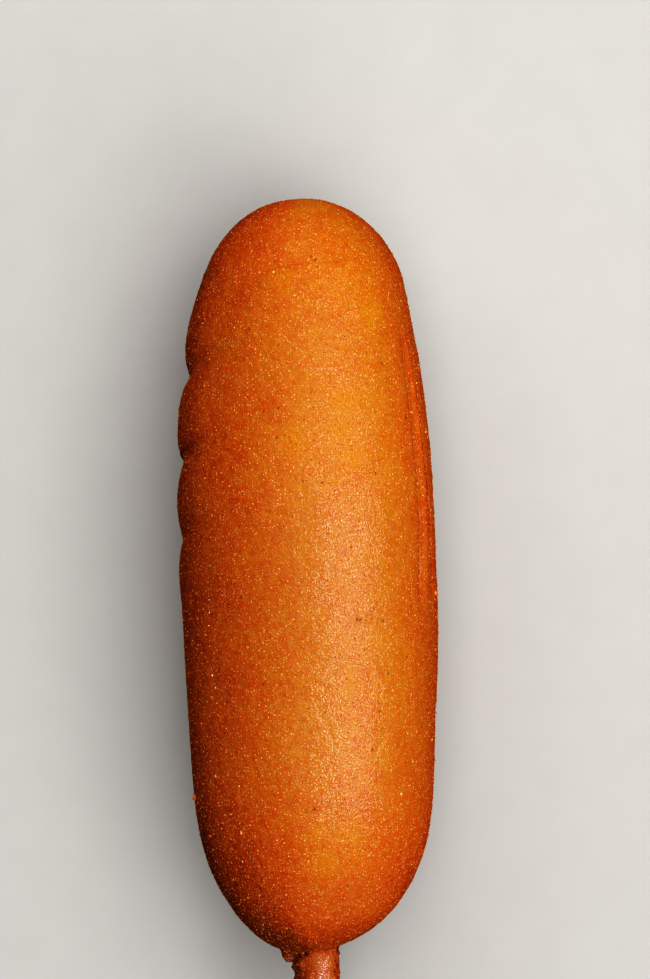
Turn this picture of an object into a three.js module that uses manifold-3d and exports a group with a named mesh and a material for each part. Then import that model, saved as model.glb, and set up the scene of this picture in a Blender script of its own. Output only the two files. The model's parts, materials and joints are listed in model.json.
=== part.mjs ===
// A corn dog lying on its side: a loaf of fried cornmeal batter round a sausage, on a round wooden stick.
//
// Millimetres, +Z up. The long axis runs along Y, with the rounded tip at +Y and the stick at -Y.
// The origin is on the resting surface, under the middle of the part's box.
//
// The batter is one solid: an outline turned round the long axis, then pushed in and out by the reliefs
// below. A place on it is named by its station, the distance from the tip in millimetres, and by its
// azimuth, the angle round the axis from straight up (0) towards +X (a quarter turn).

import * as THREE from "three";
import { mergeVertices } from "three/addons/utils/BufferGeometryUtils.js";
import Module from "manifold-3d";

const wasm = await Module();
wasm.setup();

const degrees = THREE.MathUtils.degToRad;
const { smoothstep, clamp } = THREE.MathUtils;

// ---------------------------------------------------------------- driving dimensions

const FOOD_LENGTH = 117.6; // from the tip to the base that the stick comes out of
const FOOD_RADIUS = 19.9; // at the widest station
const WIDEST_STATION = 54.7;
const STICK_RADIUS = 2.4; // a 4.8 mm dowel
const STICK_LENGTH = 140;
const STICK_SHOWS = 62; // from the food's base to the stick's far end
const RESTING_DROP = 0.8; // how much the underside is flattened where it rests
const FIT_GAP = 0.3; // between the stick and the batter round it

// ---------------------------------------------------------------- outline

const TIP = { dome: 14.1, power: 2.26, taper: 0.346 }; // taper: the share of radius lost towards that end
const BASE = { dome: 23.9, power: 2.24, taper: 0.19 };
// The base hangs lower on the -X side by this drop, and higher on the other, past the distance across.
const BASE_LEAN = { drop: 0.85, across: 5 };

// The radius before any relief. Each end is a superellipse dome on a barrel that narrows as a parabola.
function outlineRadius(station) {
  const toTip = station < WIDEST_STATION;
  const end = toTip ? TIP : BASE;
  const span = toTip ? WIDEST_STATION : FOOD_LENGTH - WIDEST_STATION;
  const fromEnd = toTip ? station : FOOD_LENGTH - station;
  const barrel = 1 - end.taper * (Math.abs(station - WIDEST_STATION) / span) ** 2;
  const intoDome = clamp(1 - fromEnd / end.dome, 0, 1);
  const dome = (1 - intoDome ** end.power) ** (1 / end.power);
  return FOOD_RADIUS * barrel * dome;
}

// ---------------------------------------------------------------- reliefs

const bell = (distance, width) => Math.exp(-((distance / width) ** 2));

// An angle difference brought to between minus and plus half a turn.
function turnBetween(a, b) {
  return Math.atan2(Math.sin(a - b), Math.cos(a - b));
}

// Rolls of batter down the -X side. Each swells between two creases, by its bulge, and skew moves the
// swelling towards the base.
const ROLL_SIDE = degrees(-90);
const ROLL_REACH = degrees(55); // how far round from that side they fade out
const ROLLS = [
  { from: 9, to: 27.6, bulge: 1.4, skew: 1.7, fullness: 1 },
  { from: 27.6, to: 40.6, bulge: 1.2, skew: 1, fullness: 0.5 },
  { from: 40.6, to: 52.8, bulge: 0.8, skew: 1, fullness: 0.9 },
  { from: 52.8, to: 63.5, bulge: 0.4, skew: 1, fullness: 0.9 },
];
const CREASES = [
  { station: 27.6, depth: 0.45, width: 1.1 },
  { station: 40.6, depth: 0.6, width: 0.8 },
  { station: 52.8, depth: 0.45, width: 1.0 },
];
const CREASE_SLANT = 4.5; // millimetres towards the tip for each radian round to the top

function rollRelief(station, azimuth) {
  const round = turnBetween(azimuth, ROLL_SIDE);
  const fade = Math.cos(clamp(round / ROLL_REACH, -1, 1) * (Math.PI / 2)) ** 2;
  const along = station + CREASE_SLANT * round;
  let relief = 0;
  for (const { from, to, bulge, skew, fullness } of ROLLS) {
    const share = clamp((along - from) / (to - from), 0, 1);
    relief += bulge * Math.max(0, Math.sin(Math.PI * share ** skew)) ** fullness;
  }
  for (const { station: middle, depth, width } of CREASES) {
    relief -= depth * bell(along - middle, width);
  }
  return relief * fade;
}

// The long seam down the +X side, where one layer of batter ran over another: two grooves with a raised
// strip between them. The second groove drifts away from the first towards the base.
const SEAM = { from: 19, to: 66, fade: 7, azimuth: degrees(61) };
const SEAM_GROOVES = [
  { turn: degrees(0), drift: degrees(0), depth: 0.55, width: degrees(1.9) },
  { turn: degrees(6), drift: degrees(6), depth: 0.4, width: degrees(2.0) },
];
const SEAM_STRIP = { turn: degrees(4), height: 0.3, width: degrees(4.5) };

function seamRelief(station, azimuth) {
  const present =
    smoothstep(station, SEAM.from, SEAM.from + SEAM.fade) *
    (1 - smoothstep(station, SEAM.to - SEAM.fade, SEAM.to));
  const share = clamp((station - SEAM.from) / (SEAM.to - SEAM.from), 0, 1);
  const round = turnBetween(azimuth, SEAM.azimuth);
  let relief = SEAM_STRIP.height * bell(round - SEAM_STRIP.turn, SEAM_STRIP.width);
  for (const { turn, drift, depth, width } of SEAM_GROOVES) {
    relief -= depth * bell(round - turn - drift * share, width);
  }
  return relief * present;
}

// Broad unevenness: each wave runs so many times round the food and so many times along it.
const WAVES = [
  { round: 2, along: 0.8, height: 0.22, phase: 0.9 },
  { round: 1, along: 2.3, height: 0.14, phase: 2.1 },
  { round: 3, along: 1.7, height: 0.12, phase: 4.0 },
  { round: 4, along: 3.6, height: 0.07, phase: 1.2 },
];
// Shallow dips where the crust settled, as station, azimuth, depth and radius.
const DIPS = [
  { station: 39, azimuth: degrees(17), depth: 0.35, radius: 5 },
  { station: 74, azimuth: degrees(12), depth: 0.22, radius: 6 },
  { station: 58, azimuth: degrees(150), depth: 0.4, radius: 9 },
];

function unevenness(station, azimuth) {
  const share = station / FOOD_LENGTH;
  let relief = 0;
  for (const { round, along, height, phase } of WAVES) {
    relief += height * Math.sin(round * azimuth + phase) * Math.sin(2 * Math.PI * along * share + phase);
  }
  for (const dip of DIPS) {
    const sideways = turnBetween(azimuth, dip.azimuth) * FOOD_RADIUS;
    relief -= dip.depth * bell(Math.hypot(station - dip.station, sideways), dip.radius);
  }
  return relief;
}

// The reliefs die out at the tip and the base, so that both close on the axis.
const RELIEF_FADE = 9;

function crustRadius(station, azimuth) {
  const ends =
    smoothstep(station, 0, RELIEF_FADE) * smoothstep(FOOD_LENGTH - station, 0, RELIEF_FADE);
  const relief =
    rollRelief(station, azimuth) + seamRelief(station, azimuth) + unevenness(station, azimuth);
  return outlineRadius(station) + relief * ends;
}

// ---------------------------------------------------------------- where the surface is divided

// Stations are close together on the domes and across the creases, and wider apart between.
const TIP_RINGS = 9;
const BASE_RINGS = 13;
const CREASED = { from: 22, to: 64, step: 1.25 };
const PLAIN_STEP = 2.9;

function stations() {
  const found = [];
  const add = (from, to, step) => {
    const count = Math.ceil((to - from) / step);
    for (let i = 0; i < count; i++) found.push(from + ((to - from) * i) / count);
  };
  // Equal turns of a quarter circle crowd the rings towards the end of a dome.
  for (let i = 0; i < TIP_RINGS; i++) {
    found.push(TIP.dome * (1 - Math.cos((i / TIP_RINGS) * (Math.PI / 2))));
  }
  add(TIP.dome, CREASED.from, PLAIN_STEP);
  add(CREASED.from, CREASED.to, CREASED.step);
  add(CREASED.to, FOOD_LENGTH - BASE.dome, PLAIN_STEP);
  for (let i = 0; i <= BASE_RINGS; i++) {
    found.push(FOOD_LENGTH - BASE.dome * (1 - Math.sin((i / BASE_RINGS) * (Math.PI / 2))));
  }
  return found;
}

// Azimuths are close together across the seam.
const SEAM_SPAN = { from: degrees(52), to: degrees(82), count: 15 };
const OTHER_AZIMUTHS = 46;

function azimuths() {
  const { from, to, count } = SEAM_SPAN;
  const rest = 2 * Math.PI - (to - from);
  const found = [];
  for (let i = 0; i < count; i++) found.push(from + ((to - from) * i) / count);
  for (let i = 0; i < OTHER_AZIMUTHS; i++) found.push(to + (rest * i) / OTHER_AZIMUTHS);
  return found;
}

// ---------------------------------------------------------------- solids

const TIP_Y = (FOOD_LENGTH + STICK_SHOWS) / 2;
const stationToY = (station) => TIP_Y - station;

// A closed geometry as a manifold-3d solid.
function solidOf(geometry) {
  const bare = geometry.clone();
  for (const name of ["normal", "uv"]) bare.deleteAttribute(name);
  const merged = mergeVertices(bare, 1e-4);
  return new wasm.Manifold(
    new wasm.Mesh({
      numProp: 3,
      vertProperties: new Float32Array(merged.attributes.position.array),
      triVerts: new Uint32Array(merged.index.array),
    }),
  );
}

function geometryOf(solid) {
  const { vertProperties, triVerts } = solid.getMesh();
  const geometry = new THREE.BufferGeometry();
  geometry.setAttribute("position", new THREE.BufferAttribute(vertProperties, 3));
  geometry.setIndex(new THREE.BufferAttribute(triVerts, 1));
  geometry.computeVertexNormals();
  return geometry;
}

// Turns a profile round Y, then puts each vertex where place(ring, side) says. The profile runs from -Y
// to +Y, so that the faces point out.
function lathe(rings, sides, place) {
  const profile = Array.from({ length: rings }, (_, i) => new THREE.Vector2(1, i));
  const geometry = new THREE.LatheGeometry(profile, sides);
  const position = geometry.getAttribute("position");
  const at = new THREE.Vector3();
  for (let i = 0; i < position.count; i++) {
    const side = Math.floor(i / rings) % sides;
    place(i % rings, side, at);
    position.setXYZ(i, at.x, at.y, at.z);
  }
  return geometry;
}

function onAxisCircle(at, radius, azimuth, y) {
  return at.set(radius * Math.sin(azimuth), y, radius * Math.cos(azimuth));
}

function loaf() {
  const along = stations().reverse();
  const round = azimuths();
  return lathe(along.length, round.length, (ring, side, at) => {
    const station = along[ring];
    const closed = ring === 0 || ring === along.length - 1;
    const radius = closed ? 0 : crustRadius(station, round[side]);
    onAxisCircle(at, radius, round[side], stationToY(station));
    const nearBase = smoothstep(station, FOOD_LENGTH - BASE.dome, FOOD_LENGTH);
    at.y += (BASE_LEAN.drop * nearBase * at.x) / Math.hypot(at.x, BASE_LEAN.across);
  });
}

// The sleeve of batter that ran down the stick: smooth in front, lumpy elsewhere, and ending in uneven runs.
const SLEEVE = { radius: 3.3, endRadius: 3.05, length: 12.5, into: 8, sides: 28, rings: 22 };
const SLEEVE_FLARE = { height: 0.75, reach: 1.1 }; // where it meets the base, on the -X side
const SMOOTH_SIDE = { azimuth: degrees(15), reach: degrees(50) };
const LUMP_SIDE = degrees(-90);
const LARGE_LUMPS = [
  { below: 2.3, azimuth: LUMP_SIDE, size: 0.9, height: 0.8 },
  { below: 4.3, azimuth: LUMP_SIDE - degrees(8), size: 0.85, height: 0.75 },
  { below: 1.0, azimuth: LUMP_SIDE + degrees(38), size: 0.6, height: 0.5 },
];
const SMALL_LUMPS = { count: 30, smallest: 0.6, largest: 1.2, height: 0.34 };
const RUNS = [
  { round: 2, length: 1.6, phase: 0.4 },
  { round: 5, length: 0.8, phase: 2.0 },
];

// A small seeded generator, so that every build is the same (mulberry32).
function seeded(seed) {
  let state = seed;
  return () => {
    state = (state + 0x6d2b79f5) | 0;
    let mixed = Math.imul(state ^ (state >>> 15), 1 | state);
    mixed = (mixed + Math.imul(mixed ^ (mixed >>> 7), 61 | mixed)) ^ mixed;
    return ((mixed ^ (mixed >>> 14)) >>> 0) / 4294967296;
  };
}

function smallLumps() {
  const random = seeded(7);
  return Array.from({ length: SMALL_LUMPS.count }, () => {
    const below = random() * SLEEVE.length;
    const azimuth = random() * 2 * Math.PI;
    const size = THREE.MathUtils.lerp(SMALL_LUMPS.smallest, SMALL_LUMPS.largest, random());
    const smooth = bell(turnBetween(azimuth, SMOOTH_SIDE.azimuth), SMOOTH_SIDE.reach);
    return { below, azimuth, size, height: SMALL_LUMPS.height * (1 - smooth) };
  });
}

function sleeveRadius(below, share, azimuth, lumps) {
  const flareSide = (1 - Math.sin(azimuth)) / 2;
  let radius = THREE.MathUtils.lerp(SLEEVE.radius, SLEEVE.endRadius, share);
  radius += SLEEVE_FLARE.height * flareSide * bell(Math.max(below, 0), SLEEVE_FLARE.reach);
  for (const lump of lumps) {
    const sideways = turnBetween(azimuth, lump.azimuth) * SLEEVE.radius;
    radius += lump.height * bell(Math.hypot(below - lump.below, sideways), lump.size);
  }
  return radius;
}

function sleeve() {
  const lumps = [...LARGE_LUMPS, ...smallLumps()];
  return lathe(SLEEVE.rings, SLEEVE.sides, (ring, side, at) => {
    const azimuth = (side / SLEEVE.sides) * 2 * Math.PI;
    const closed = ring === 0 || ring === SLEEVE.rings - 1;
    const runs = RUNS.reduce((sum, run) => sum + run.length * Math.sin(run.round * azimuth + run.phase), 0);
    const end = SLEEVE.length + (closed ? 0 : runs);
    // The first and last rings are the middles of the flat ends, level with the rings next to them.
    const up = clamp((ring - 1) / (SLEEVE.rings - 3), 0, 1);
    const below = THREE.MathUtils.lerp(end, -SLEEVE.into, up);
    const share = clamp(below / end, 0, 1);
    const radius = closed ? 0 : sleeveRadius(below, share, azimuth, lumps);
    onAxisCircle(at, radius, azimuth, stationToY(FOOD_LENGTH + below));
  });
}

// A flap of batter that hangs from the base beside the stick.
const FLAP = { x: -4.75, z: 0.9, below: 0, width: 2.1, length: 3.4, depth: 2.6, lean: degrees(12) };

function flap() {
  const geometry = new THREE.SphereGeometry(0.5, 16, 12);
  geometry.scale(FLAP.width, FLAP.length, FLAP.depth);
  geometry.rotateZ(FLAP.lean);
  geometry.translate(FLAP.x, stationToY(FOOD_LENGTH + FLAP.below), FLAP.z);
  return geometry;
}

// The stick has both ends sawn square with the edge rubbed off.
const STICK = { sides: 24, rubbedEdge: 0.4 };

// Grown by a gap all round, it is the socket that it sits in.
function stickGeometry(gap) {
  const outer = stationToY(FOOD_LENGTH + STICK_SHOWS + gap);
  const inner = stationToY(FOOD_LENGTH + STICK_SHOWS - STICK_LENGTH - gap);
  const radius = STICK_RADIUS + gap;
  const profile = [
    [0, outer],
    [radius - STICK.rubbedEdge, outer],
    [radius, outer + STICK.rubbedEdge],
    [radius, inner - STICK.rubbedEdge],
    [radius - STICK.rubbedEdge, inner],
    [0, inner],
  ];
  return new THREE.LatheGeometry(
    profile.map(([x, y]) => new THREE.Vector2(x, y)),
    STICK.sides,
  );
}

// Everything below the flat that the food rests on.
function belowTheFlat() {
  const size = 4 * FOOD_RADIUS;
  const box = new THREE.BoxGeometry(size, 2 * FOOD_LENGTH, size);
  box.translate(0, stationToY(WIDEST_STATION), -(FOOD_RADIUS - RESTING_DROP) - size / 2);
  return box;
}

function batterGeometry() {
  const solid = solidOf(loaf())
    .add(solidOf(sleeve()))
    .add(solidOf(flap()))
    .subtract(solidOf(stickGeometry(FIT_GAP)))
    .subtract(solidOf(belowTheFlat()));
  return geometryOf(solid);
}

// ---------------------------------------------------------------- the part

const batter = new THREE.Mesh(
  batterGeometry(),
  new THREE.MeshStandardMaterial({ color: 0xc8700f, roughness: 0.5, metalness: 0 }),
);
batter.name = "batter";

const stick = new THREE.Mesh(
  stickGeometry(0),
  new THREE.MeshStandardMaterial({ color: 0xd8b27a, roughness: 0.7, metalness: 0 }),
);
stick.name = "stick";

const cornDog = new THREE.Group();
cornDog.name = "corn_dog";
cornDog.add(batter, stick);

// The origin goes under the middle of the whole, on the surface that it rests on.
const box = new THREE.Box3().setFromObject(cornDog);
const middle = box.getCenter(new THREE.Vector3());
for (const piece of cornDog.children) piece.position.set(-middle.x, -middle.y, -box.min.z);

export default cornDog;
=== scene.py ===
"""A corn dog lying on a pale table: fried cornmeal batter, its sausage hidden, on a birch stick.

Everything is in metres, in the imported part's own frame: the food lies along Y with its rounded tip at +Y,
and +Z is up. A place on the crust is named by its station, the distance from the tip, and by its azimuth,
the angle in degrees round the long axis from straight up towards +X.
"""

import json
import math

import bpy
import numpy as np
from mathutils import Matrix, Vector

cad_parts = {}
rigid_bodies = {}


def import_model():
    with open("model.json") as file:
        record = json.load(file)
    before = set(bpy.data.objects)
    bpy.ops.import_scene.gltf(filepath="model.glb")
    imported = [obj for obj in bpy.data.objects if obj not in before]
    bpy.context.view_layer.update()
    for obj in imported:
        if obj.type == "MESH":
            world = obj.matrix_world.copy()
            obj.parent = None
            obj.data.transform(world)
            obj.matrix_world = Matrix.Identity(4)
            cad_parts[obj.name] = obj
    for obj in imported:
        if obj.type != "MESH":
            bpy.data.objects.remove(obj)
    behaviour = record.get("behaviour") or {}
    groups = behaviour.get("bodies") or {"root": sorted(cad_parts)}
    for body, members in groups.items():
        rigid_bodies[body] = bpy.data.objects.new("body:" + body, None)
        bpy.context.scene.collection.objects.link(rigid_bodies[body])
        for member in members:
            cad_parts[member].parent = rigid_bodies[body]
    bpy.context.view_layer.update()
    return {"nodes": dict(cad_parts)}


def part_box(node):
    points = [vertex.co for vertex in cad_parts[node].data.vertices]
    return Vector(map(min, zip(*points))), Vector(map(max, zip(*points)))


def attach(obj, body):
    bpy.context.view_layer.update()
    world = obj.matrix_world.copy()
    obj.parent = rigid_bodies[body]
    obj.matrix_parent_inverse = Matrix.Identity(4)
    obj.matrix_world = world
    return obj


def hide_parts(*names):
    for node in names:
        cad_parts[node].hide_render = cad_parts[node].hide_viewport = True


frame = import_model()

MM = 0.001

# ---------------------------------------------------------------- places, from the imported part

BATTER_LOW, BATTER_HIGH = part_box("batter")
STICK_LOW, STICK_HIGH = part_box("stick")
AXIS_X = (STICK_LOW.x + STICK_HIGH.x) / 2
AXIS_Z = (STICK_LOW.z + STICK_HIGH.z) / 2
STICK_RADIUS = (STICK_HIGH.x - STICK_LOW.x) / 2
TIP_Y = BATTER_HIGH.y
FOOD_LENGTH = 117.6 * MM
SLEEVE_END_Y = BATTER_LOW.y
FOOD_MIDDLE = Vector((AXIS_X, TIP_Y - FOOD_LENGTH / 2, AXIS_Z))
SOCKET_GAP = 0.3 * MM

# ---------------------------------------------------------------- helpers for meshes


def select_only(piece):
    """Deselects everything but this object and makes it the active one."""
    for other in bpy.context.view_layer.objects:
        other.select_set(False)
    piece.select_set(True)
    bpy.context.view_layer.objects.active = piece


def modify(piece, kind, **settings):
    """Adds a modifier with these settings and applies it."""
    select_only(piece)
    modifier = piece.modifiers.new(kind.lower(), kind)
    for name, value in settings.items():
        setattr(modifier, name, value)
    bpy.ops.object.modifier_apply(modifier=modifier.name)


def in_edit_mode(piece, *steps):
    """Runs each step, a function with no arguments, on the whole of the piece in edit mode."""
    select_only(piece)
    bpy.ops.object.mode_set(mode="EDIT")
    bpy.ops.mesh.select_all(action="SELECT")
    for step in steps:
        step()
    bpy.ops.object.mode_set(mode="OBJECT")


def select_vertices(piece, chosen):
    """Selects the vertices whose numbers are in chosen, in object mode."""
    flags = np.zeros(len(piece.data.vertices), bool)
    flags[chosen] = True
    for part in (piece.data.edges, piece.data.polygons):
        part.foreach_set("select", np.zeros(len(part), bool))
    piece.data.vertices.foreach_set("select", flags)


def places(piece):
    """Each vertex's place, one row each."""
    found = np.zeros(len(piece.data.vertices) * 3)
    piece.data.vertices.foreach_get("co", found)
    return found.reshape(-1, 3)


LEAST_PUSH = 0.002 * MM
LEAST_WEIGHT = 0.01


def push(piece, outward):
    """Moves each vertex along its normal by its own distance: out where positive, in where negative."""
    for way in (1, -1):
        distance = np.clip(way * outward, 0, None)
        furthest = distance.max()
        if furthest == 0:
            continue
        group = piece.vertex_groups.new(name="pushed")
        for number in np.flatnonzero(distance > LEAST_PUSH):
            group.add([int(number)], float(distance[number] / furthest), "REPLACE")
        modify(piece, "DISPLACE", strength=way * furthest, mid_level=0.0, vertex_group=group.name)
        piece.vertex_groups.clear()


def roughen(piece, size, height, where, depth=2):
    """Raises and lowers the surface by clouds of this size and height. where weighs it, from 0 to 1."""
    texture = bpy.data.textures.new("roughness", "CLOUDS")
    texture.noise_scale = size
    texture.noise_depth = depth
    group = piece.vertex_groups.new(name="roughened")
    for number in np.flatnonzero(where > LEAST_WEIGHT):
        group.add([int(number)], float(where[number]), "REPLACE")
    modify(
        piece,
        "DISPLACE",
        texture=texture,
        strength=2 * height,
        mid_level=0.5,
        vertex_group=group.name,
    )
    piece.vertex_groups.clear()


def keep_as(piece, name, values):
    """Stores one number for each vertex under a name that materials and scatters read."""
    piece.data.attributes.new(name, "FLOAT", "POINT").data.foreach_set("value", values.astype(np.float32))


def smooth_step(value, low, high):
    """0 below low, 1 above high, and an easy slope between them."""
    share = np.clip((value - low) / (high - low), 0, 1)
    return share * share * (3 - 2 * share)


def bell(distance, width):
    """1 at no distance, falling away to 0 over about twice the width."""
    return np.exp(-((distance / width) ** 2))


# ---------------------------------------------------------------- helpers for materials


def linear(code):
    """An sRGB hex colour as linear red, green, blue and alpha."""
    parts = [int(code[i : i + 2], 16) / 255 for i in (1, 3, 5)]
    return (*(p / 12.92 if p <= 0.04045 else ((p + 0.055) / 1.055) ** 2.4 for p in parts), 1)


def add(tree, kind, inputs=None, stops=None, **settings):
    """Adds a node. inputs maps a socket's name or number to a value, or to the output that feeds it."""
    node = tree.nodes.new(kind)
    for name, value in settings.items():
        setattr(node, name, value)
    if stops:
        ramp = node.color_ramp.elements
        while len(ramp) < len(stops):
            ramp.new(1)
        for element, (position, colour) in zip(ramp, stops):
            element.position = position
            element.color = linear(colour)
    for name, value in (inputs or {}).items():
        if isinstance(value, bpy.types.NodeSocket):
            tree.links.new(value, node.inputs[name])
        else:
            node.inputs[name].default_value = value
    return node


def new_material(name):
    """A node material with only its output, as the material, its tree and the output node."""
    material = bpy.data.materials.new(name)
    material.use_nodes = True
    tree = material.node_tree
    tree.nodes.clear()
    return material, tree, add(tree, "ShaderNodeOutputMaterial")


def by_angle(tree, head_on, edge_on):
    """A setting that changes from where the surface is seen head on to where it is seen edge on."""
    facing = add(tree, "ShaderNodeLayerWeight", {"Blend": 0.5}).outputs["Facing"]
    inputs = {0: facing, 1: edge_on - head_on, 2: head_on}
    return add(tree, "ShaderNodeMath", inputs, operation="MULTIPLY_ADD").outputs[0]


# ---------------------------------------------------------------- materials


def fried_cornmeal_batter():
    """Cornmeal batter, deep fried: golden brown, red-brown at the ends, grainy and oily; its lit top is
    painted paler and its sides darker, as painted light and shade.

    The eye sees a dense fine grain that glints, because the oil coats every bump, over a mottled brown.
    The oil is what the coat stands for. It has a higher IOR than oil has, because the coat's highlight has
    to be as strong as that of the thick beads that hang on the grains.
    """
    material, tree, output = new_material("fried_cornmeal_batter")
    where = add(tree, "ShaderNodeTexCoord").outputs["Object"]
    # The browning map also carries painted shade and painted highlights, and the map of the hollows is
    # painted shade.
    toast_and_painted_light = add(tree, "ShaderNodeAttribute", attribute_name="toast_and_painted_light").outputs["Fac"]
    recess_shade = add(tree, "ShaderNodeAttribute", attribute_name="recess_shade").outputs["Fac"]
    oil = add(tree, "ShaderNodeAttribute", attribute_name="oil").outputs["Fac"]
    # The fat browns the crust in clouds of about 6 mm, and in blotches of 1 to 2 mm where it bubbled.
    mottle = add(
        tree,
        "ShaderNodeTexNoise",
        {"Vector": where, "Scale": 1 / (6 * MM), "Detail": 4.0, "Roughness": 0.6},
    ).outputs["Fac"]
    blotch = add(
        tree,
        "ShaderNodeTexNoise",
        {"Vector": where, "Scale": 1 / (1.3 * MM), "Detail": 2.0, "Roughness": 0.6},
    ).outputs["Fac"]
    # Cornmeal is milled to 0.2 to 0.5 mm. Each cell is one swollen grain, highest in its middle.
    cells = add(tree, "ShaderNodeTexVoronoi", {"Vector": where, "Scale": 1 / (0.32 * MM)})
    grain = add(
        tree,
        "ShaderNodeMapRange",
        {"Value": cells.outputs["Distance"], "From Max": 0.75, "To Min": 1.0, "To Max": 0.0},
    ).outputs["Result"]

    def sum_of(first, second, share):
        """first plus a share of second, measured from its middle value."""
        centred = add(tree, "ShaderNodeMath", {0: second, 1: -0.5}, operation="ADD").outputs[0]
        inputs = {0: centred, 1: share, 2: first}
        return add(tree, "ShaderNodeMath", inputs, operation="MULTIPLY_ADD").outputs[0]

    # Browning, painted shade and painted highlights together pick the brown.
    browning_and_painted_light = sum_of(sum_of(sum_of(toast_and_painted_light, mottle, 0.44), blotch, 0.6), grain, -0.22)
    brown = add(
        tree,
        "ShaderNodeValToRGB",
        {"Fac": browning_and_painted_light},
        stops=[(0.0, "#ca861c"), (0.28, "#c87016"), (0.56, "#c65812"), (0.8, "#ae440e"), (1.0, "#84360c")],
    ).outputs["Color"]
    # Coarser meal, about 0.4 mm: only a few of its grains lie bare and pale at the surface. These pale
    # specks are partly painted glints off the oily bumps.
    specks = add(tree, "ShaderNodeTexVoronoi", {"Vector": where, "Scale": 1 / (0.42 * MM)})
    near = add(
        tree,
        "ShaderNodeMapRange",
        {
            "Value": specks.outputs["Distance"],
            "From Min": 0.1,
            "From Max": 0.36,
            "To Min": 1.0,
            "To Max": 0.0,
        },
    ).outputs["Result"]
    chance = add(tree, "ShaderNodeSeparateColor", {"Color": specks.outputs["Color"]}).outputs["Red"]
    inputs = {0: near, 1: add(tree, "ShaderNodeMath", {0: chance, 1: 1.8}, operation="POWER").outputs[0]}
    cornmeal = add(tree, "ShaderNodeMath", inputs, operation="MULTIPLY").outputs[0]
    tops = add(
        tree,
        "ShaderNodeMapRange",
        {"Value": grain, "From Min": 0.45, "From Max": 1.0, "To Max": 0.42},
    ).outputs["Result"]
    paleness = add(tree, "ShaderNodeSeparateColor", {"Color": cells.outputs["Color"]}).outputs["Green"]
    granules = add(tree, "ShaderNodeMath", {0: tops, 1: paleness}, operation="MULTIPLY").outputs[0]
    speckled = add(tree, "ShaderNodeMath", {0: cornmeal, 1: granules}, operation="MAXIMUM").outputs[0]
    # The specks, partly bare meal and partly painted glints, and the grains' tops are mixed towards pale
    # yellow.
    paler = add(
        tree,
        "ShaderNodeMix",
        {"Factor": speckled, "A": brown, "B": linear("#fad08a")},
        data_type="RGBA",
    ).outputs["Result"]
    # Painted shade: the pores, the seam's grooves, the folds and the neck's pits are darkened towards deep
    # red-brown.
    colour = add(
        tree,
        "ShaderNodeMix",
        {"Factor": recess_shade, "A": paler, "B": linear("#5c1c08")},
        data_type="RGBA",
    )
    lumps = add(tree, "ShaderNodeBump", {"Height": blotch, "Strength": 1.0, "Distance": 0.19 * MM})

    def wrinkled(distance):
        """The normal of the lumps with the grain raised this far on them."""
        inputs = {"Height": grain, "Strength": 1.0, "Distance": distance, "Normal": lumps.outputs["Normal"]}
        return add(tree, "ShaderNodeBump", inputs).outputs["Normal"]

    # The oil beads on the tops of the grains, and there is none in the pits and grooves that are painted
    # dark with shade.
    out_of_the_recesses = add(tree, "ShaderNodeMath", {0: 1.0, 1: recess_shade}, operation="SUBTRACT").outputs[0]
    wet = add(
        tree,
        "ShaderNodeMapRange",
        {"Value": grain, "From Min": 0.15, "From Max": 0.45, "To Min": 0.3},
    ).outputs["Result"]
    filmed = add(tree, "ShaderNodeMath", {0: wet, 1: out_of_the_recesses}, operation="MULTIPLY").outputs[0]
    oily = add(tree, "ShaderNodeMath", {0: oil, 1: filmed}, operation="MULTIPLY").outputs[0]
    gloss = {0: by_angle(tree, 1.0, 0.0), 1: oily}
    surface = add(
        tree,
        "ShaderNodeBsdfPrincipled",
        {
            "Base Color": colour.outputs["Result"],
            "Roughness": 0.6,
            "IOR": 1.46,
            "Specular IOR Level": 0.05,
            "Coat Weight": add(tree, "ShaderNodeMath", gloss, operation="MULTIPLY").outputs[0],
            "Coat Roughness": 0.26,
            "Coat IOR": 2.2,
            "Normal": wrinkled(0.03 * MM),
            "Coat Normal": wrinkled(0.055 * MM),
        },
    )
    tree.links.new(surface.outputs[0], output.inputs["Surface"])
    return material


def fried_cornmeal_grit():
    """Grains of the cornmeal that stand out of the fried crust: translucent, paler than it, and oily.

    Each grain has its own shade, so that some catch the light as yellow specks and others stay brown.
    """
    material, tree, output = new_material("fried_cornmeal_grit")
    shade = add(tree, "ShaderNodeAttribute", attribute_name="shade").outputs["Fac"]
    colour = add(
        tree,
        "ShaderNodeValToRGB",
        {"Fac": shade},
        stops=[(0.0, "#c86a1e"), (0.6, "#da7e2c"), (0.9, "#e89a4c"), (1.0, "#f6cf90")],
    ).outputs["Color"]
    surface = add(
        tree,
        "ShaderNodeBsdfPrincipled",
        {"Base Color": colour, "Roughness": by_angle(tree, 0.25, 0.9), "IOR": 1.46},
    )
    tree.links.new(surface.outputs[0], output.inputs["Surface"])
    return material


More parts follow.
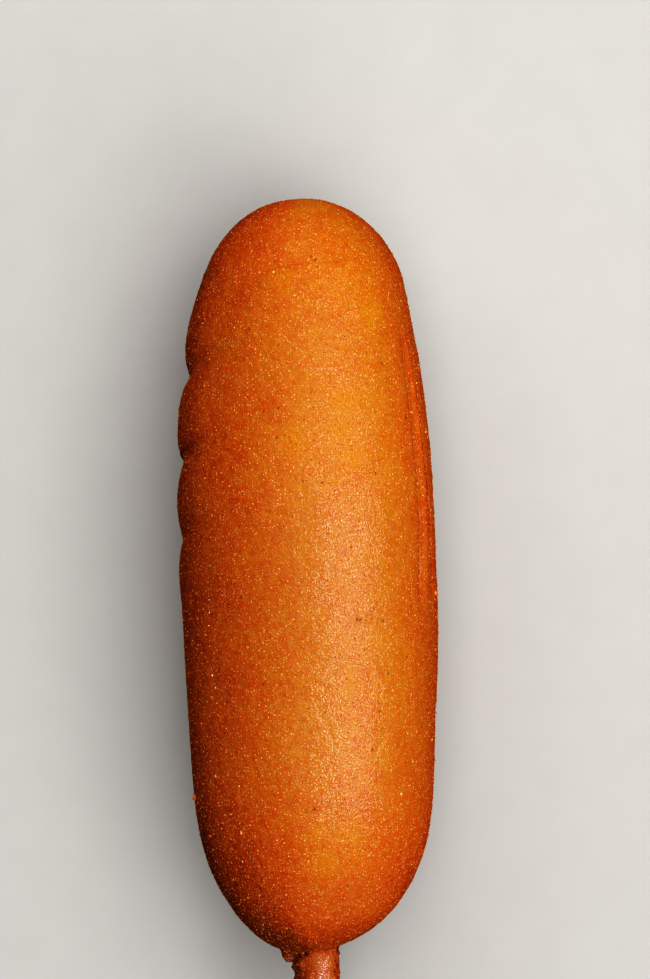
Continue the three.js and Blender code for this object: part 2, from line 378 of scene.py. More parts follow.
def birch_dowel():
    """Birch, turned to a dowel: cream wood with fine straight grain and short brown flecks.

    Where the batter ends, frying oil has soaked in and turned it a darker honey colour.
    """
    material, tree, output = new_material("birch_dowel")
    where = add(tree, "ShaderNodeTexCoord").outputs["Object"]
    # The tree's rings are about 1.4 mm wide here, round a pith that lies outside the dowel.
    from_pith = add(
        tree,
        "ShaderNodeMapping",
        {"Vector": where, "Location": (-0.016, 0, -0.011), "Scale": (1, 0.05, 1)},
    ).outputs["Vector"]
    rings = add(
        tree,
        "ShaderNodeTexWave",
        {"Vector": from_pith, "Scale": 0.35 / (1.6 * MM), "Distortion": 1.5, "Detail Scale": 2.0},
        wave_type="RINGS",
        rings_direction="Y",
        wave_profile="SAW",
    ).outputs["Fac"]
    along = add(tree, "ShaderNodeMapping", {"Vector": where, "Scale": (1, 0.04, 1)}).outputs["Vector"]
    fibres = add(
        tree,
        "ShaderNodeTexNoise",
        {"Vector": along, "Scale": 1 / (0.25 * MM), "Detail": 3.0, "Roughness": 0.6},
    ).outputs["Fac"]
    fleck_places = add(tree, "ShaderNodeMapping", {"Vector": where, "Scale": (1, 0.15, 1)})
    fleck_clouds = add(
        tree,
        "ShaderNodeTexNoise",
        {
            "Vector": fleck_places.outputs["Vector"],
            "Scale": 1 / (0.3 * MM),
            "Detail": 0.0,
            "Roughness": 0.6,
        },
    ).outputs["Fac"]
    flecks = add(
        tree,
        "ShaderNodeMapRange",
        {"Value": fleck_clouds, "From Min": 0.68, "From Max": 0.76},
    ).outputs["Result"]
    tone = add(tree, "ShaderNodeMix", {"Factor": 0.55, "A": rings, "B": fibres}, data_type="FLOAT")
    wood = add(
        tree,
        "ShaderNodeValToRGB",
        {"Fac": tone.outputs["Result"]},
        stops=[(0.2, "#d8b684"), (0.5, "#e2c698"), (0.85, "#eddab4")],
    ).outputs["Color"]
    flecked = add(
        tree,
        "ShaderNodeMix",
        {"Factor": flecks, "A": wood, "B": linear("#a87848")},
        data_type="RGBA",
    ).outputs["Result"]
    reach = add(tree, "ShaderNodeSeparateXYZ", {"Vector": where}).outputs["Y"]
    streaks = add(
        tree,
        "ShaderNodeTexNoise",
        {"Vector": along, "Scale": 1 / (0.8 * MM), "Detail": 2.0, "Roughness": 0.6},
    ).outputs["Fac"]
    inputs = {0: streaks, 1: 7 * MM, 2: reach}
    ragged = add(tree, "ShaderNodeMath", inputs, operation="MULTIPLY_ADD").outputs[0]
    soaked = add(
        tree,
        "ShaderNodeMapRange",
        {"Value": ragged, "From Min": SLEEVE_END_Y - 6 * MM, "From Max": SLEEVE_END_Y + 4 * MM},
    ).outputs["Result"]
    colour = add(
        tree,
        "ShaderNodeMix",
        {"Factor": soaked, "A": flecked, "B": linear("#a8702e")},
        data_type="RGBA",
    )
    dull = {0: soaked, 1: -0.3, 2: 0.68}
    grain = add(tree, "ShaderNodeBump", {"Height": fibres, "Strength": 0.6, "Distance": 0.06 * MM})
    surface = add(
        tree,
        "ShaderNodeBsdfPrincipled",
        {
            "Base Color": colour.outputs["Result"],
            "Roughness": add(tree, "ShaderNodeMath", dull, operation="MULTIPLY_ADD").outputs[0],
            "IOR": 1.5,
            "Normal": grain.outputs["Normal"],
        },
    )
    tree.links.new(surface.outputs[0], output.inputs["Surface"])
    return material


def matt_card():
    """Pale matt card: pressed paper pulp, with a faint cloudy mottle and a fine tooth that keeps it dull."""
    material, tree, output = new_material("pale_matt_card")
    where = add(tree, "ShaderNodeTexCoord").outputs["Object"]
    mottle = add(
        tree,
        "ShaderNodeTexNoise",
        {"Vector": where, "Scale": 1 / (8 * MM), "Detail": 3.0, "Roughness": 0.6},
    ).outputs["Fac"]
    colour = add(
        tree,
        "ShaderNodeValToRGB",
        {"Fac": mottle},
        stops=[(0.3, "#c7c5c1"), (0.7, "#c9c7c3")],
    ).outputs["Color"]
    pulp = add(
        tree,
        "ShaderNodeTexNoise",
        {"Vector": where, "Scale": 1 / (0.6 * MM), "Detail": 2.0, "Roughness": 0.6},
    ).outputs["Fac"]
    dull = add(tree, "ShaderNodeMath", {0: pulp, 1: 0.1, 2: 0.85}, operation="MULTIPLY_ADD").outputs[0]
    tooth = add(tree, "ShaderNodeBump", {"Height": pulp, "Strength": 0.3, "Distance": 0.02 * MM})
    surface = add(
        tree,
        "ShaderNodeBsdfPrincipled",
        {"Base Color": colour, "Roughness": dull, "Normal": tooth.outputs["Normal"]},
    )
    tree.links.new(surface.outputs[0], output.inputs["Surface"])
    return material


# ---------------------------------------------------------------- places on the crust


class Skin:
    """The vertices of a piece of crust, as stations, azimuths and distances from the axis."""

    def __init__(self, piece):
        found = places(piece)
        across, up = found[:, 0] - AXIS_X, found[:, 2] - AXIS_Z
        self.height = found[:, 2]
        self.station = TIP_Y - found[:, 1]
        self.azimuth = np.degrees(np.arctan2(across, up))
        self.from_axis = np.hypot(across, up)

    def round_from(self, azimuth):
        """How far each vertex lies round the axis from this azimuth, in degrees, from -180 to 180."""
        return (self.azimuth - azimuth + 180) % 360 - 180

    def across_from(self, azimuth):
        """The same, as a distance over the crust."""
        return np.radians(self.round_from(azimuth)) * self.from_axis

    def away_from(self, station, azimuth):
        """The distance over the crust from a place on it."""
        return np.hypot(self.station - station * MM, self.across_from(azimuth))

    def outside(self):
        """1 on the crust that shows, 0 in the stick's socket and on the flat that the food rests on."""
        off_the_flat = smooth_step(self.height, 0.15 * MM, 1.5 * MM)
        off_the_stick = smooth_step(self.from_axis, STICK_RADIUS + 0.1 * MM, STICK_RADIUS + 0.5 * MM)
        before_the_tip = self.station < FOOD_LENGTH * 0.5
        return off_the_flat * np.where(before_the_tip, 1, off_the_stick)


# ---------------------------------------------------------------- relief of the crust

# The seam's two grooves, as azimuths at their tip end and their base end; stations in millimetres.
SEAM_FROM, SEAM_TO, SEAM_FADE = 20.5, 63.0, 3.0
SEAM_GROOVES = (
    {"azimuths": (58, 60), "depth": 0.2 * MM, "width": 0.18 * MM, "lip": 0.1 * MM},
    {"azimuths": (66, 75), "depth": 0.16 * MM, "width": 0.2 * MM, "lip": 0.08 * MM},
)
LIP_AWAY, LIP_WIDTH = 0.46 * MM, 0.25 * MM

# The folds between the rolls on the -X side, where a roll overhangs the next; they slant towards the tip.
FOLD_SIDE, FOLD_REACH, FOLD_SLANT = -90, 42, 4.5
FOLDS = (
    {"station": 27.4, "depth": 0.02 * MM, "width": 0.4 * MM, "lip": 0.04 * MM},
    {"station": 40.0, "depth": 0.12 * MM, "width": 0.22 * MM, "lip": 0.15 * MM},
    {"station": 52.6, "depth": 0.02 * MM, "width": 0.35 * MM, "lip": 0.04 * MM},
)
DEEP_FOLD = 0.45 * MM

# The faint line round the tip where the batter closed over it, from its left end to its right end.
TIP_LINE = {"azimuths": (-24, 34), "stations": (12.3, 10.4), "depth": 0.14 * MM, "step": 0.2 * MM}

# Pores that the frying fat opened, as station in millimetres, azimuth and radius in millimetres.
PORES = (
    (10.5, 8, 0.17),
    (26.4, 41, 0.17),
    (33, -12.5, 0.17),
    (34.8, 54, 0.20),
    (37, -39.5, 0.16),
    (37.4, -13.5, 0.17),
    (44.2, -2, 0.15),
    (61.6, -32, 0.17),
    (63.6, 52, 0.15),
    (65.3, 21.5, 0.23),
    (65.4, 23, 0.20),
    (65.7, 35, 0.19),
    (69.3, 12.5, 0.16),
    (73, -47, 0.16),
    (73.8, 38, 0.18),
    (74.8, -22.5, 0.18),
    (82.3, 62, 0.19),
    (85.3, 29, 0.19),
    (94, 0, 0.20),
    (94.3, -4, 0.14),
    (99, -28, 0.16),
)
FINE_PORES, FINE_PORE_RADIUS = 40, 0.14
PORE_DEPTH = 0.9


def pores():
    """The named pores, and fine ones at random all round."""
    draw = np.random.default_rng(7)
    found = list(PORES)
    for _ in range(FINE_PORES):
        station, azimuth = draw.uniform(6, 114), draw.uniform(-180, 180)
        found.append((station, azimuth, FINE_PORE_RADIUS * draw.uniform(0.7, 1.3)))
    return found


def seam(skin):
    """The seam's relief, how deep in a groove each vertex is, which is painted with shade, and how far up
    the greasy lip beside it, which is painted with a highlight.
    """
    station = skin.station / MM
    present = smooth_step(station, SEAM_FROM, SEAM_FROM + SEAM_FADE)
    present *= 1 - smooth_step(station, SEAM_TO - SEAM_FADE, SEAM_TO)
    share = np.clip((station - SEAM_FROM) / (SEAM_TO - SEAM_FROM), 0, 1)
    relief, depth, lip = 0, 0, 0
    for groove in SEAM_GROOVES:
        first, last = groove["azimuths"]
        waver = 0.5 * np.sin(station * 0.9) + 0.3 * np.sin(station * 2.3 + 1)
        across = skin.across_from(first + (last - first) * share + waver)
        inside = present * bell(across, groove["width"])
        raised = present * bell(across - LIP_AWAY, LIP_WIDTH)
        relief += groove["lip"] * raised - groove["depth"] * inside
        depth += inside
        lip += raised * (1 - smooth_step(station, 44, 52))
    return relief, depth, lip


def folds(skin):
    """The relief of the folds between the rolls, and how deep in one each vertex is, which is painted with
    shade.
    """
    round_from = skin.round_from(FOLD_SIDE)
    present = np.cos(np.clip(round_from / FOLD_REACH, -1, 1) * math.pi / 2) ** 2
    along = skin.station + FOLD_SLANT * MM * np.radians(round_from)
    relief, depth = 0, 0
    for fold in FOLDS:
        past = along - fold["station"] * MM
        inside = present * bell(past, fold["width"])
        relief += fold["lip"] * present * bell(past + 2.2 * fold["width"], fold["width"] * 1.4)
        relief -= fold["depth"] * inside
        depth += inside * fold["depth"] / DEEP_FOLD
    return relief, depth


def tip_line(skin):
    """The relief of the line round the tip: a fine groove with a step down to it on the base side."""
    first, last = TIP_LINE["azimuths"]
    share = np.clip((skin.azimuth - first) / (last - first), 0, 1)
    start, end = TIP_LINE["stations"]
    line = (start + (end - start) * share ** 0.6) * MM
    present = smooth_step(skin.azimuth, first - 4, first + 3)
    present *= 1 - smooth_step(skin.azimuth, last - 6, last + 4)
    past = skin.station - line
    step = np.where(past > 0, np.exp(-past / (2.5 * MM)), 0)
    return present * (TIP_LINE["step"] * step - TIP_LINE["depth"] * bell(past + 0.15 * MM, 0.2 * MM))


# Lumps round the neck, and pits where the height is below zero, as station and azimuth, radius and height
# in millimetres.
NECK = (
    {"at": (119.9, -88), "radius": 0.6, "height": 0.35},
    {"at": (121.9, -84), "radius": 0.5, "height": 0.5},
    {"at": (119.4, -52), "radius": 0.6, "height": 0.4},
    {"at": (118.0, -52), "radius": 0.4, "height": -0.7},
    {"at": (117.7, -34), "radius": 0.35, "height": -0.6},
    {"at": (118.6, -66), "radius": 0.3, "height": -0.5},
    {"at": (117.2, -44), "radius": 0.3, "height": 0.35},
    {"at": (117.1, -62), "radius": 0.3, "height": 0.3},
    {"at": (116.5, 77), "radius": 0.35, "height": -0.6},
    {"at": (118.9, 62), "radius": 0.3, "height": -0.3},
    {"at": (119.7, 74), "radius": 0.35, "height": -0.35},
    {"at": (120.6, 58), "radius": 0.35, "height": -0.3},
    {"at": (118.0, 84), "radius": 0.35, "height": 0.3},
    {"at": (120.9, 86), "radius": 0.4, "height": 0.3},
)


def neck(skin):
    """The relief of the neck's lumps and pits, and how deep in a pit each vertex is, which is painted with
    shade.
    """
    relief = np.zeros(len(skin.station))
    depth = np.zeros(len(skin.station))
    for spot in NECK:
        inside = bell(skin.away_from(*spot["at"]), spot["radius"] * MM)
        relief += spot["height"] * MM * inside
        if spot["height"] < 0:
            depth = np.maximum(depth, inside)
    return relief, depth


def on_the_neck(skin):
    """1 on the sleeve of batter that covers the stick, 0 on the food."""
    return smooth_step(skin.station, 116.8 * MM, 118.4 * MM) * (skin.from_axis < 6 * MM)


def pitted(skin):
    """The relief of the pores, and how deep in one each vertex is, which is painted with shade."""
    relief = np.zeros(len(skin.station))
    depth = np.zeros(len(skin.station))
    for station, azimuth, radius in pores():
        inside = bell(skin.away_from(station, azimuth), radius * MM)
        relief -= PORE_DEPTH * radius * MM * inside
        depth = np.maximum(depth, inside)
    return relief, depth


# ---------------------------------------------------------------- crust

REMESH = 0.25 * MM
MOST_FACES = 190_000


def merged_copy(node, name):
    """A copy of a CAD node's mesh under a new name, with its doubled vertices merged."""
    piece = frame["nodes"][node].copy()
    piece.data = piece.data.copy()
    piece.name = piece.data.name = name
    piece.parent = None
    for key in list(piece.keys()):
        del piece[key]
    piece.data.materials.clear()
    bpy.context.scene.collection.objects.link(piece)
    in_edit_mode(piece, lambda: bpy.ops.mesh.remove_doubles(threshold=0.001 * MM))
    return piece


def close_the_socket_on_the_stick(piece):
    """Draws the wall of the stick's socket in, so that the batter grips the stick."""
    select_vertices(piece, np.flatnonzero(Skin(piece).from_axis < STICK_RADIUS + SOCKET_GAP + 0.01 * MM))
    drawn_in = (STICK_RADIUS - 0.02 * MM) / (STICK_RADIUS + SOCKET_GAP)
    select_only(piece)
    bpy.ops.object.mode_set(mode="EDIT")
    bpy.ops.transform.resize(
        value=(drawn_in, 1, drawn_in),
        center_override=(AXIS_X, 0, AXIS_Z),
    )
    bpy.ops.object.mode_set(mode="OBJECT")


def crust():
    """The fried batter: the solid's own form, finely roughened, with the relief and its colour maps."""
    piece = merged_copy("batter", "crust")
    in_edit_mode(
        piece,
        lambda: bpy.ops.mesh.tris_convert_to_quads(
            face_threshold=math.radians(40), shape_threshold=math.radians(60)
        ),
    )
    close_the_socket_on_the_stick(piece)
    modify(piece, "SUBSURF", levels=2, render_levels=2)
    modify(piece, "REMESH", mode="VOXEL", voxel_size=REMESH)
    modify(piece, "SMOOTH", factor=0.5, iterations=3)

    skin = Skin(piece)
    outside = skin.outside()
    roughen(piece, size=9 * MM, height=0.16 * MM, where=outside)
    roughen(piece, size=2.4 * MM, height=0.07 * MM, where=outside)
    roughen(piece, size=0.9 * MM, height=0.05 * MM, where=outside, depth=1)
    roughen(piece, size=0.36 * MM, height=0.13 * MM, where=outside * on_the_neck(skin), depth=1)
    relief = seam(skin)[0] + folds(skin)[0] + tip_line(skin) + pitted(skin)[0] + neck(skin)[0]
    push(piece, relief * outside)
    faces = sum(len(face.vertices) - 2 for face in piece.data.polygons)
    modify(piece, "DECIMATE", ratio=MOST_FACES / faces)
    select_only(piece)
    bpy.ops.object.shade_smooth()

    skin = Skin(piece)
    # The browning map carries painted shade and highlights too; the hollows' map is painted shade.
    keep_as(piece, "toast_and_painted_light", toasting_and_painted_light(skin))
    keep_as(piece, "recess_shade", recess_shading(skin))
    keep_as(piece, "oil", oiling(skin))
    keep_as(piece, "gritty", skin.outside() * (1 - recess_shading(skin)))
    return piece


# Patches where the crust stayed yellow, as station, azimuth and radius in millimetres.
PALE_SPOTS = (
    (13, -12, 2), (19, 38, 2), (32.5, 18, 2.2), (36.5, 17, 2), (38.5, -5, 2), (40.5, 22, 2),
    (73.6, 18, 1.2), (75.6, 18, 1.2), (98.5, 0, 3), (98.5, 17, 3), (102, 5, 3.5), (102, 19, 2.5),
)  # fmt: skip

FAINT_SPOTS = ((24, -37, 8), (91, -32, 7))


def max_of(skin, spots):
    """1 in the middle of the nearest spot, falling to 0 round it."""
    near = [bell(skin.away_from(station, azimuth), size * MM) for station, azimuth, size in spots]
    return np.max(near, axis=0)


# How brown each part of the crust is, with painted shade and painted highlights among the parts. The parts'
# shares add up, and one below 0 makes the part paler.
TOAST_AND_PAINTED_LIGHT = {
    "front": 0.12,
    "base half": 0.28,
    "base end": 0.38,
    "tip": 0.05,
    "very tip": 0.04,
    # Painted shade: the sides and the underside darken away from the lit top.
    "sides": 0.4,
    "painted shade underneath": 0.26,
    "beside the seam": 0.05,
    # Painted shade in the seam's grooves, and a painted highlight on their lip.
    "painted shade in the grooves": 0.25,
    "painted highlight on the lip": -0.1,
    "pale spots": -0.2,
    "faint spots": -0.12,
    # A painted highlight: paler along the lit band on the front.
    "painted highlight on the lit band": -0.1,
    "neck": -0.5,
}
# The azimuth of the lit top, where the painted shade is lightest, and of the lit band with its painted
# highlight.
LIT_TOP_AZIMUTH, LIT_BAND_AZIMUTH = 20, 16


def toasting_and_painted_light(skin):
    """How brown the crust is, from 0, yellow, to 1, red-brown, and browner towards the ends; painted shade
    darkens the sides and underside away from the lit top and the seam's grooves, and painted highlights
    lighten the lit band and the seam's lip.
    """
    station = skin.station / MM
    round_from = np.abs(skin.round_from(LIT_TOP_AZIMUTH))
    groove, lip = seam(skin)[1:]
    along_the_seam = smooth_step(station, 14, 22) * (1 - smooth_step(station, 60, 70))
    along_the_lit_band = smooth_step(station, 18, 28) * (1 - smooth_step(station, 90, 100))
    where = {
        "front": 1,
        "base half": smooth_step(station, 80, 116),
        "base end": smooth_step(station, 110, 117),
        "tip": smooth_step(-station, -18, -6),
        "very tip": smooth_step(-station, -7, -2),
        # Painted shade round the sides and underneath, away from the lit top.
        "sides": smooth_step(round_from, 10, 70),
        "painted shade underneath": smooth_step(round_from, 68, 98),
        "beside the seam": smooth_step(skin.azimuth, 42, 54) * along_the_seam,
        # Painted shade in the grooves, and a painted highlight on the lip.
        "painted shade in the grooves": groove,
        "painted highlight on the lip": lip,
        "pale spots": max_of(skin, PALE_SPOTS),
        "faint spots": max_of(skin, FAINT_SPOTS),
        # The painted highlight along the lit band.
        "painted highlight on the lit band": bell(skin.round_from(LIT_BAND_AZIMUTH), 26) * along_the_lit_band,
        "neck": on_the_neck(skin),
    }
    return sum(TOAST_AND_PAINTED_LIGHT[part] * share for part, share in where.items())


# How strongly the seam's grooves and the folds are painted with shade.
SEAM_SHADE = FOLD_SHADE = 0.15


def recess_shading(skin):
    """Where the crust is painted dark with shade in its hollows: in the pores, the seam's grooves, the folds
    and the pits of the neck.
    """
    depth = np.maximum(seam(skin)[1] * SEAM_SHADE, folds(skin)[1] * FOLD_SHADE)
    return np.clip(np.maximum(np.maximum(depth, neck(skin)[1]), pitted(skin)[1]), 0, 1)


OIL_EVERYWHERE = 0.25
OIL_BEHIND_THE_TIP = 0.3
OIL_ON_THE_BODY = 0.5
LESS_OIL_LOWER_DOWN = 0.3
OIL_MISSING_ON_SPOTS = 0.4
OIL_ON_THE_NECK = 1.6
OIL_ON_THE_LIP = 1.2


def oiling(skin):
    """How thick the film of oil is: most on the lower two thirds and on the neck, little near the tip."""
    station = skin.station / MM
    front = OIL_BEHIND_THE_TIP * smooth_step(station, 12, 24)
    body = OIL_ON_THE_BODY * smooth_step(station, 40, 54)
    body *= 1 - LESS_OIL_LOWER_DOWN * smooth_step(station, 60, 72)
    body *= 1 - smooth_step(station, 89, 104)
    dry = OIL_MISSING_ON_SPOTS * max_of(skin, PALE_SPOTS)
    film = np.clip(OIL_EVERYWHERE + front + body - dry, 0, 1)
    return film + OIL_ON_THE_NECK * on_the_neck(skin) + OIL_ON_THE_LIP * seam(skin)[2]


# ---------------------------------------------------------------- grit and crumbs


def grain_shape(name, sides, top, height, seed):
    """One grain about 2 across, standing on the origin, its foot sunk: a low cone with a rounded-off top."""
    bpy.ops.mesh.primitive_cone_add(
        vertices=sides, radius1=1, radius2=top, depth=height, location=(0, 0, 0.2 * height)
    )
    grain = bpy.context.object
    grain.name = name
    in_edit_mode(
        grain,
        lambda: bpy.ops.transform.vertex_random(offset=0.18, seed=seed),
        lambda: bpy.ops.mesh.quads_convert_to_tris(),
    )
    bpy.ops.object.transform_apply(location=True, rotation=True, scale=True)
    bpy.ops.object.shade_smooth()
    return grain


def crumb_shape(name, seed):
    """One crumb about 2 across: an uneven ball of a few dozen faces."""
    bpy.ops.mesh.primitive_ico_sphere_add(subdivisions=2, radius=1)
    crumb = bpy.context.object
    crumb.name = name
    in_edit_mode(
        crumb,
        lambda: bpy.ops.transform.vertex_random(offset=0.22, seed=seed),
        lambda: bpy.ops.transform.resize(value=(1.0, 0.8, 0.65)),
    )
    bpy.ops.object.shade_smooth()
    return crumb


# Crumbs that stand out on the outline or shine: station in millimetres, azimuth, and radius in millimetres.
PLACED_CRUMBS = (
    (13, -86, 0.12), (24, -85, 0.2), (33.2, -88, 0.12), (36.7, -86, 0.1), (39.8, -83, 0.3),
    (47, -86, 0.14), (70.5, -88, 0.12), (92.7, -79, 0.42), (94, -86, 0.14), (95.4, -82, 0.18),
    (99, -86, 0.15), (7.3, -41, 0.14), (15, -64, 0.14), (24.3, -58, 0.17), (24.6, -60, 0.15),
    (25, -56, 0.2), (28, -37, 0.18), (29, -57, 0.18), (36, -59, 0.17), (39.4, -61, 0.14),
    (42.4, -26, 0.15), (52, -61, 0.15), (58.4, -36.5, 0.15), (65, -61, 0.16), (67.3, -62, 0.15),
    (68, -29, 0.16), (73.4, -51, 0.17), (77, -53, 0.22), (79, -22, 0.15), (85.4, -44, 0.16),
    (93.2, -52, 0.18), (97.5, -38, 0.26), (98.4, -63, 0.26), (99, -33, 0.15), (102.4, -49, 0.15),
    (105, -51, 0.16), (107.5, -35, 0.2), (110, -42, 0.16), (112.6, -25, 0.22), (114, -46, 0.2),
    (115, -9, 0.2), (117.4, -48, 0.22), (117.5, -40, 0.18), (118.3, -80, 0.2), (119.4, -66, 0.2),
    (40, 88, 0.14), (44, 88, 0.2), (45, 84, 0.18), (46, 88, 0.24), (47, 85, 0.2),
    (48.4, 88, 0.15), (58, 88, 0.15), (61, 88, 0.12), (62.2, 78, 0.3), (62.3, 84, 0.24),
    (65.5, 84, 0.22), (65.6, 87, 0.16), (24.5, 68, 0.12), (27, 77, 0.16), (29, 59, 0.13),
    (29, 73, 0.13), (30, 70, 0.14), (31.5, 59, 0.11), (33.5, 58.5, 0.12), (34, 59.5, 0.2),
    (34.4, 58.5, 0.13), (35.3, 59, 0.12), (36.8, 75, 0.17), (37.8, 60, 0.15), (38.5, 60.5, 0.12),
    (39.8, 61, 0.11), (41, 61, 0.13), (44.2, 72, 0.17), (44.3, 74, 0.15),
)  # fmt: skip


def placed_crumbs(host, seed):
    """The listed crumbs, each an uneven flattened ball half sunk in the crust, as one mesh."""
    draw = np.random.default_rng(seed)
    skin, found = Skin(host), places(host)
    made = []
    for number, (station, azimuth, radius) in enumerate(PLACED_CRUMBS):
        spot = found[np.argmin(skin.away_from(station, azimuth))]
        bpy.ops.mesh.primitive_ico_sphere_add(subdivisions=2, radius=radius * MM, location=spot)
        crumb = bpy.context.object
        stretch = tuple(draw.uniform(0.75, 1.3, 3))
        in_edit_mode(
            crumb,
            lambda: bpy.ops.transform.vertex_random(offset=0.25 * radius * MM, seed=number),
            lambda: bpy.ops.transform.resize(value=stretch),
        )
        bpy.ops.object.transform_apply(location=True, rotation=True, scale=True)
        made.append(crumb)
    select_only(made[0])
    for crumb in made:
        crumb.select_set(True)
    bpy.ops.object.join()
    piece = made[0]
    piece.name = piece.data.name = "placed_crumbs"
    bpy.ops.object.shade_smooth()
    shades = draw.uniform(0.2, 1, len(made))
    keep_as(piece, "shade", np.repeat(shades, len(piece.data.vertices) // len(made)))
    return piece


def scattered(name, host, shapes, per_square_mm, apart, radii, seed):
    """Copies of the shapes on the host where it is gritty, turned and sized at random, as one mesh."""
    kinds = bpy.data.collections.new(name + "_kinds")
    bpy.context.scene.collection.children.link(kinds)
    for shape in shapes:
        for holder in list(shape.users_collection):
            holder.objects.unlink(shape)
        kinds.objects.link(shape)
    tree = bpy.data.node_groups.new(name, "GeometryNodeTree")
    tree.interface.new_socket("Geometry", in_out="OUTPUT", socket_type="NodeSocketGeometry")
    skin = add(tree, "GeometryNodeObjectInfo", {"Object": host}).outputs["Geometry"]
    gritty = add(tree, "GeometryNodeInputNamedAttribute", {"Name": "gritty"}, data_type="FLOAT")
    points = add(
        tree,
        "GeometryNodeDistributePointsOnFaces",
        {
            "Mesh": skin,
            "Distance Min": apart,
            "Density Max": per_square_mm / MM ** 2,
            "Density Factor": gritty.outputs["Attribute"],
            "Seed": seed,
        },
        distribute_method="POISSON",
    )
    shaded = add(
        tree,
        "GeometryNodeStoreNamedAttribute",
        {
            "Geometry": points.outputs["Points"],
            "Name": "shade",
            "Value": add(tree, "FunctionNodeRandomValue", {"Seed": seed + 1}).outputs["Value"],
        },
        data_type="FLOAT",
        domain="POINT",
    )
    spin = add(
        tree,
        "FunctionNodeRandomValue",
        {0: (-0.25, -0.25, 0), 1: (0.25, 0.25, math.tau), "Seed": seed + 2},
        data_type="FLOAT_VECTOR",
    )
    turned = add(
        tree,
        "FunctionNodeRotateRotation",
        {"Rotation": points.outputs["Rotation"], "Rotate By": spin.outputs["Value"]},
        rotation_space="LOCAL",
    )
    size = add(
        tree,
        "FunctionNodeRandomValue",
        {0: (radii[0],) * 3, 1: (radii[1],) * 3, "Seed": seed + 3},
        data_type="FLOAT_VECTOR",
    )
    kind = add(
        tree,
        "GeometryNodeCollectionInfo",
        {"Collection": kinds, "Separate Children": True, "Reset Children": True},
    )
    grains = add(
        tree,
        "GeometryNodeInstanceOnPoints",
        {
            "Points": shaded.outputs["Geometry"],
            "Instance": kind.outputs["Instances"],
            "Pick Instance": True,
            "Rotation": turned.outputs["Rotation"],
            "Scale": size.outputs["Value"],
        },
    )
    joined = add(tree, "GeometryNodeRealizeInstances", {"Geometry": grains.outputs["Instances"]})
    add(tree, "NodeGroupOutput", {0: joined.outputs["Geometry"]})

    piece = bpy.data.objects.new(name, bpy.data.meshes.new(name))
    bpy.context.scene.collection.objects.link(piece)
    modify(piece, "NODES", node_group=tree)
    for shape in shapes:
        bpy.data.objects.remove(shape)
    bpy.data.collections.remove(kinds)
    return piece


def on_the_crust(piece, material):
    """Gives a piece of crust or grit its material, and says what it rides on and where it goes."""
    piece.data.materials.clear()
    piece.data.materials.append(material)
    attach(piece, "root")


# ---------------------------------------------------------------- stick

DOWEL_SIDES = 96
DOWEL_CUT = 1.5 * MM
DOWEL_EDGE = 0.25 * MM
RIDGE = 0.02 * MM


def dowel():
    """A turned stick with its sawn ends just blunted, scored lengthwise by the fine ridges of its grain."""
    length = STICK_HIGH.y - STICK_LOW.y
    bpy.ops.mesh.primitive_cylinder_add(
        vertices=DOWEL_SIDES,
        radius=STICK_RADIUS,
        depth=length,
        location=(AXIS_X, (STICK_LOW.y + STICK_HIGH.y) / 2, AXIS_Z),
        rotation=(math.pi / 2, 0, 0),
    )
    piece = bpy.context.object
    piece.name = piece.data.name = "dowel"
    bpy.ops.object.transform_apply(location=True, rotation=True, scale=True)
    bpy.ops.object.mode_set(mode="EDIT")
    bpy.ops.mesh.select_mode(type="FACE")
    bpy.ops.mesh.select_all(action="DESELECT")
    bpy.ops.object.mode_set(mode="OBJECT")
    for face in piece.data.polygons:
        face.select = abs(face.normal.y) > 0.9
    bpy.ops.object.mode_set(mode="EDIT")
    bpy.ops.mesh.bevel(offset=DOWEL_EDGE, segments=3, affect="EDGES")
    bpy.ops.mesh.select_mode(type="VERT")
    for cut in np.arange(STICK_LOW.y + DOWEL_CUT, STICK_HIGH.y - DOWEL_EDGE, DOWEL_CUT):
        bpy.ops.mesh.select_all(action="SELECT")
        bpy.ops.mesh.bisect(plane_co=(0, cut, 0), plane_no=(0, 1, 0))
    bpy.ops.object.mode_set(mode="OBJECT")
    found = places(piece)
    turn = np.arctan2(found[:, 0] - AXIS_X, found[:, 2] - AXIS_Z)
    along = (found[:, 1] - STICK_LOW.y) / length
    side = np.hypot(found[:, 0] - AXIS_X, found[:, 2] - AXIS_Z) > STICK_RADIUS - 0.01 * MM
    draw = np.random.default_rng(11)
    ridges = sum(
        draw.uniform(0.3, 1) * np.sin(sides * turn + draw.uniform(0, math.tau) + draw.uniform(-4, 4) * along)
        for sides in (5, 9, 14, 21, 32)
    )
    push(piece, -RIDGE * np.clip(ridges + 1, 0, None) * side)
    select_only(piece)
    bpy.ops.object.shade_smooth_by_angle(angle=math.radians(40))
    return piece


# ---------------------------------------------------------------- building it

the_crust = crust()
on_the_crust(the_crust, fried_cornmeal_batter())
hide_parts("batter")

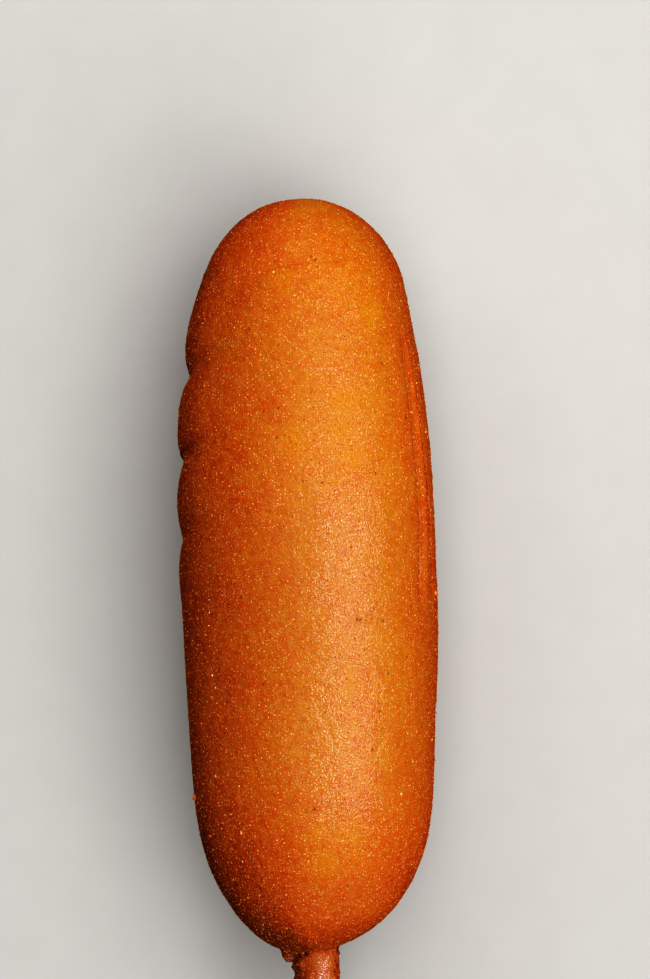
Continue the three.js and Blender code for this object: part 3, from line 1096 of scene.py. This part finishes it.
grit_material = fried_cornmeal_grit()
fine_shapes = [grain_shape(f"fine_{i}", sides=5, top=0.0, height=1.0, seed=10 + i) for i in range(4)]
fine_grit = scattered(
    "fine_grit",
    the_crust,
    fine_shapes,
    per_square_mm=1.9,
    apart=0.36 * MM,
    radii=(0.07 * MM, 0.13 * MM),
    seed=3,
)
on_the_crust(fine_grit, grit_material)
coarse_shapes = [grain_shape(f"coarse_{i}", sides=5, top=0.45, height=0.9, seed=20 + i) for i in range(5)]
coarse_grit = scattered(
    "coarse_grit",
    the_crust,
    coarse_shapes,
    per_square_mm=0.7,
    apart=0.7 * MM,
    radii=(0.1 * MM, 0.2 * MM),
    seed=5,
)
on_the_crust(coarse_grit, grit_material)
crumb_shapes = [crumb_shape(f"crumb_{i}", seed=30 + i) for i in range(4)]
crumbs = scattered(
    "crumbs",
    the_crust,
    crumb_shapes,
    per_square_mm=0.03,
    apart=1.5 * MM,
    radii=(0.13 * MM, 0.26 * MM),
    seed=9,
)
on_the_crust(crumbs, grit_material)

hand_placed = placed_crumbs(the_crust, seed=4)
on_the_crust(hand_placed, grit_material)

the_stick = dowel()
the_stick.data.materials.append(birch_dowel())
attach(the_stick, "root")
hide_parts("stick")

# ---------------------------------------------------------------- table, lights and camera


def table_top():
    """The pale card that the food lies on. It throws no colour or reflection back on the food."""
    bpy.ops.mesh.primitive_plane_add(size=4, location=(0, 0, 0))
    floor = bpy.context.object
    floor.name = "table_top"
    floor.data.materials.append(matt_card())
    floor.visible_diffuse = False
    floor.visible_glossy = False


def area_light(name, at, size, power, colour, only_highlights):
    """A softbox aimed at the food, seen either in its highlights alone or in everything but them."""
    data = bpy.data.lights.new(name, "AREA")
    data.color = linear(colour)[:3]
    data.size = size
    data.energy = power
    lamp = bpy.data.objects.new(name, data)
    bpy.context.scene.collection.objects.link(lamp)
    lamp.location = at
    lamp.rotation_euler = (FOOD_MIDDLE - at).to_track_quat("-Z", "Y").to_euler()
    lamp.visible_glossy = only_highlights
    lamp.visible_diffuse = not only_highlights


def from_above(azimuth, lean, distance):
    """A point this far from the food's middle, leaned by azimuth towards +X and by lean towards +Y."""
    side, along = math.radians(azimuth), math.radians(lean)
    way = Vector((math.sin(side) * math.cos(along), math.sin(along), math.cos(side) * math.cos(along)))
    return FOOD_MIDDLE + way * distance


# The soft lamps that light the food: azimuth, lean and power.
FILL_SIZE, FILL_DISTANCE = 0.9, 0.8
FILLS = {
    "fill": (14, 0, 3.5),
    "side": (75, 0, 0.45),
    "tip_end": (30, 50, 2.1),
    "tip_side": (-40, 50, 2.2),
    "base_end": (44, -50, 2.6),
}
KEY_SIZE, KEY_DISTANCE, KEY_POWER = 0.2, 0.6, 0.64
WORLD_STRENGTH = 0.04


def lights():
    """A small cool softbox gives the band of glints and nothing else; large soft ones give all the light."""
    area_light("key", from_above(37.5, -4, KEY_DISTANCE), KEY_SIZE, KEY_POWER, "#c6e0ff", True)
    for name, (azimuth, lean, power) in FILLS.items():
        area_light(name, from_above(azimuth, lean, FILL_DISTANCE), FILL_SIZE, power, "#ffffff", False)
    world = bpy.data.worlds.new("studio")
    world.use_nodes = True
    world.node_tree.nodes["Background"].inputs["Color"].default_value = linear("#e8e8ea")
    world.node_tree.nodes["Background"].inputs["Strength"].default_value = WORLD_STRENGTH
    bpy.context.scene.world = world


# The frame shows this much of the plane of the food's axis, centred here, with the food leaning left in it.
FRAME_PIXELS, PIXELS_PER_MM = 979, 6.4
FRAME_HEIGHT = FRAME_PIXELS / PIXELS_PER_MM * MM
FRAME_MIDDLE = Vector((AXIS_X + 2.73 * MM, TIP_Y - 45.5 * MM, AXIS_Z))
LEAN = math.radians(1.286)
LENS = 150.0
SENSOR = 36.0


def camera():
    """A long lens straight above the food."""
    data = bpy.data.cameras.new("camera")
    data.lens = LENS
    data.sensor_width = SENSOR
    eye = bpy.data.objects.new("camera", data)
    bpy.context.scene.collection.objects.link(eye)
    eye.location = FRAME_MIDDLE + Vector((0, 0, FRAME_HEIGHT * LENS / SENSOR))
    eye.rotation_euler = (0, 0, -LEAN)
    bpy.context.scene.camera = eye


table_top()
lights()
camera()
bpy.context.scene.view_settings.view_transform = "Standard"
bpy.context.scene.view_settings.look = "Very High Contrast"
